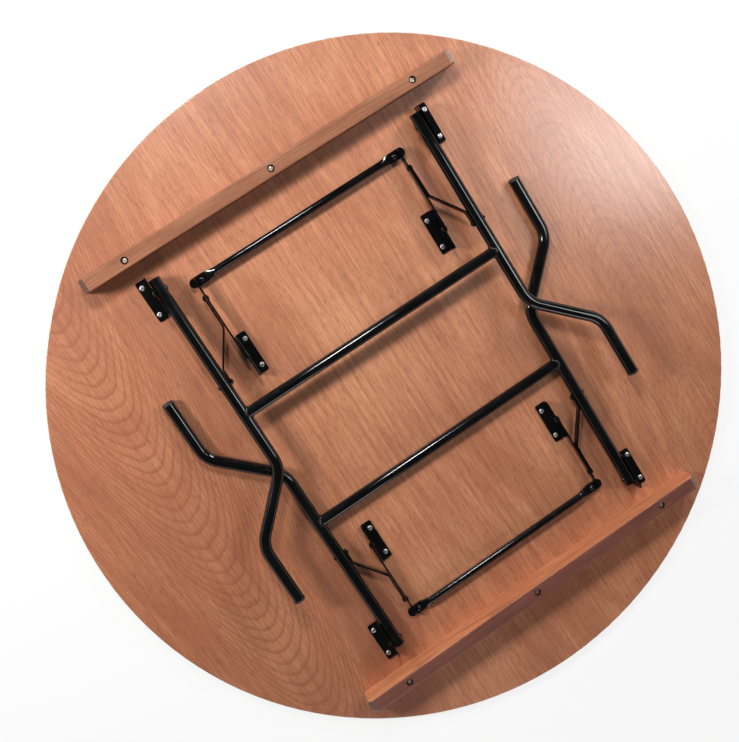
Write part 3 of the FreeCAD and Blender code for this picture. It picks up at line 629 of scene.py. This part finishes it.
plug, tree, shader = new_finish("moulded_plug")
scuff = grain(tree, SCUFF_REPEATS, detail=2.0, roughness=0.6)
feed(tree, shader.inputs["Base Color"], tint(tree, ramp(tree, scuff, 0.3, 0.7), PLUG_BLACK, PLUG_SCUFF))
feed(tree, shader.inputs["Roughness"], ramp(tree, scuff, 0.3, 0.7, to_low=0.48, to_high=0.62))
relief(tree, shader, scuff, PLUG_RELIEF)
dress(["foot_plugs_a", "foot_plugs_b"], plug)


# Braces: flat arms riveted to their brackets, cranked struts riveted to the legs, and a lock
# rod across each pair of arms with its ends pressed flat, all in the same black coat.

for leg_set in ("a", "b"):
    for side in ("left", "right"):
        dress(["brace_arm_" + leg_set + "_" + side, "strut_" + leg_set + "_" + side], enamel)
    dress(["lock_rod_" + leg_set, "rod_rivets_" + leg_set, "brace_rivets_" + leg_set], enamel)
    dress(["elbow_rivets_" + leg_set, "elbow_caps_" + leg_set], enamel)


# Studio: a white floor under the table, and a surround that is white to the camera and, in
# reflections, white low down and dark overhead. Three main lamps stand beyond the table's +y
# edge, two smaller ones high over its +x edge, and a weak one fills in from the -y side.

FLOOR_SIZE = 60.0
FLOOR_DROP = 0.0004
FLOOR_ROUGHNESS = 0.9
FLOOR_WHITE_SHARE = 0.82
FLOOR_PALE = shade(252, 252, 252)
FLOOR_WHITE = shade(254, 254, 254)
FLOOR_REPEATS = (30.0, 30.0, 30.0)

bpy.ops.object.select_all(action="DESELECT")
bpy.ops.mesh.primitive_plane_add(size=FLOOR_SIZE, location=(0.0, 0.0, -FLOOR_DROP))
floor = bpy.context.active_object
floor.name = "studio_floor"
floor_finish, tree, shader = new_finish("studio_white")
speck = grain(tree, FLOOR_REPEATS, detail=2.0, roughness=0.5)
feed(tree, shader.inputs["Base Color"], tint(tree, speck, FLOOR_PALE, FLOOR_WHITE))
shader.inputs["Roughness"].default_value = FLOOR_ROUGHNESS
shader.inputs["Specular IOR Level"].default_value = 0.0
rays = tree.nodes.new("ShaderNodeLightPath").outputs
mirrored = reckon(tree, "MAXIMUM", rays["Is Glossy Ray"], rays["Is Transmission Ray"])
plainly_seen = reckon(tree, "MAXIMUM", rays["Is Camera Ray"], mirrored)
glow = tree.nodes.new("ShaderNodeEmission")
whitened = tree.nodes.new("ShaderNodeMixShader")
feed(tree, whitened.inputs["Fac"], reckon(tree, "MULTIPLY", plainly_seen, FLOOR_WHITE_SHARE))
tree.links.new(shader.outputs["BSDF"], whitened.inputs[1])
tree.links.new(glow.outputs["Emission"], whitened.inputs[2])
tree.links.new(whitened.outputs["Shader"], tree.nodes["Material Output"].inputs["Surface"])
floor.data.materials.append(floor_finish)

SURROUND_LOW = 1.0
SURROUND_HIGH = 0.06
SURROUND_EDGES = (0.04, 0.3)
SURROUND_LIGHT_SHARE = 0.1

world = bpy.data.worlds.new("studio_surround")
bpy.context.scene.world = world
world.use_nodes = True
tree = world.node_tree
surround = tree.nodes["Background"].inputs
direction = tree.nodes.new("ShaderNodeSeparateXYZ")
feed(tree, direction.inputs["Vector"], tree.nodes.new("ShaderNodeTexCoord").outputs["Generated"])
rays = tree.nodes.new("ShaderNodeLightPath").outputs
mirrored = reckon(tree, "MAXIMUM", rays["Is Glossy Ray"], rays["Is Transmission Ray"])
level = ramp(tree, direction.outputs["Z"], *SURROUND_EDGES, SURROUND_LOW, SURROUND_HIGH)
level = reckon(tree, "MULTIPLY", level, ramp(tree, mirrored, 0.0, 1.0, to_low=SURROUND_LIGHT_SHARE))
feed(tree, surround["Strength"], reckon(tree, "MAXIMUM", level, rays["Is Camera Ray"]))
surround["Color"].default_value = (1.0, 1.0, 1.0, 1.0)


def softbox(name, place, width, height, power):
    """Rectangular lamp that faces the table's middle."""
    bpy.ops.object.select_all(action="DESELECT")
    bpy.ops.object.light_add(type="AREA", location=place)
    lamp = bpy.context.active_object
    lamp.name = name
    lamp.rotation_euler = Vector(place).to_track_quat("Z", "Y").to_euler()
    lamp.data.shape = "RECTANGLE"
    lamp.data.size = width
    lamp.data.size_y = height
    lamp.data.energy = power


softbox("left_key", place=(-1.5, 1.2, 1.2), width=0.4, height=0.4, power=28.5)
softbox("top_key", place=(0.1, 1.5, 1.55), width=0.3, height=0.3, power=17.5)
softbox("right_key", place=(1.9, 1.1, 1.1), width=0.4, height=0.4, power=20.0)
softbox("right_high", place=(1.75, -0.15, 1.8), width=0.5, height=0.5, power=6.0)
softbox("right_sheen", place=(1.5, 0.15, 2.0), width=0.7, height=0.3, power=5.5)
softbox("low_fill", place=(-0.7, -1.9, 0.8), width=1.4, height=0.6, power=8.5)

CAMERA_PLACE = Vector((-0.237, 0.4425, 1.992))
CAMERA_RIGHT = Vector((0.8304, -0.5281, 0.1776))
CAMERA_UP = Vector((0.5491, 0.8296, -0.1008))
CAMERA_BACK = Vector((-0.0941, 0.1812, 0.9789))
CAMERA_LENS = 44.67
CAMERA_SENSOR = 36.0

bpy.ops.object.select_all(action="DESELECT")
bpy.ops.object.camera_add(location=CAMERA_PLACE)
camera = bpy.context.active_object
camera.name = "photo_camera"
camera.rotation_euler = Matrix((CAMERA_RIGHT, CAMERA_UP, CAMERA_BACK)).transposed().to_euler()
camera.data.lens = CAMERA_LENS
camera.data.sensor_width = CAMERA_SENSOR
bpy.context.scene.camera = camera
bpy.context.scene.view_settings.view_transform = "Standard"
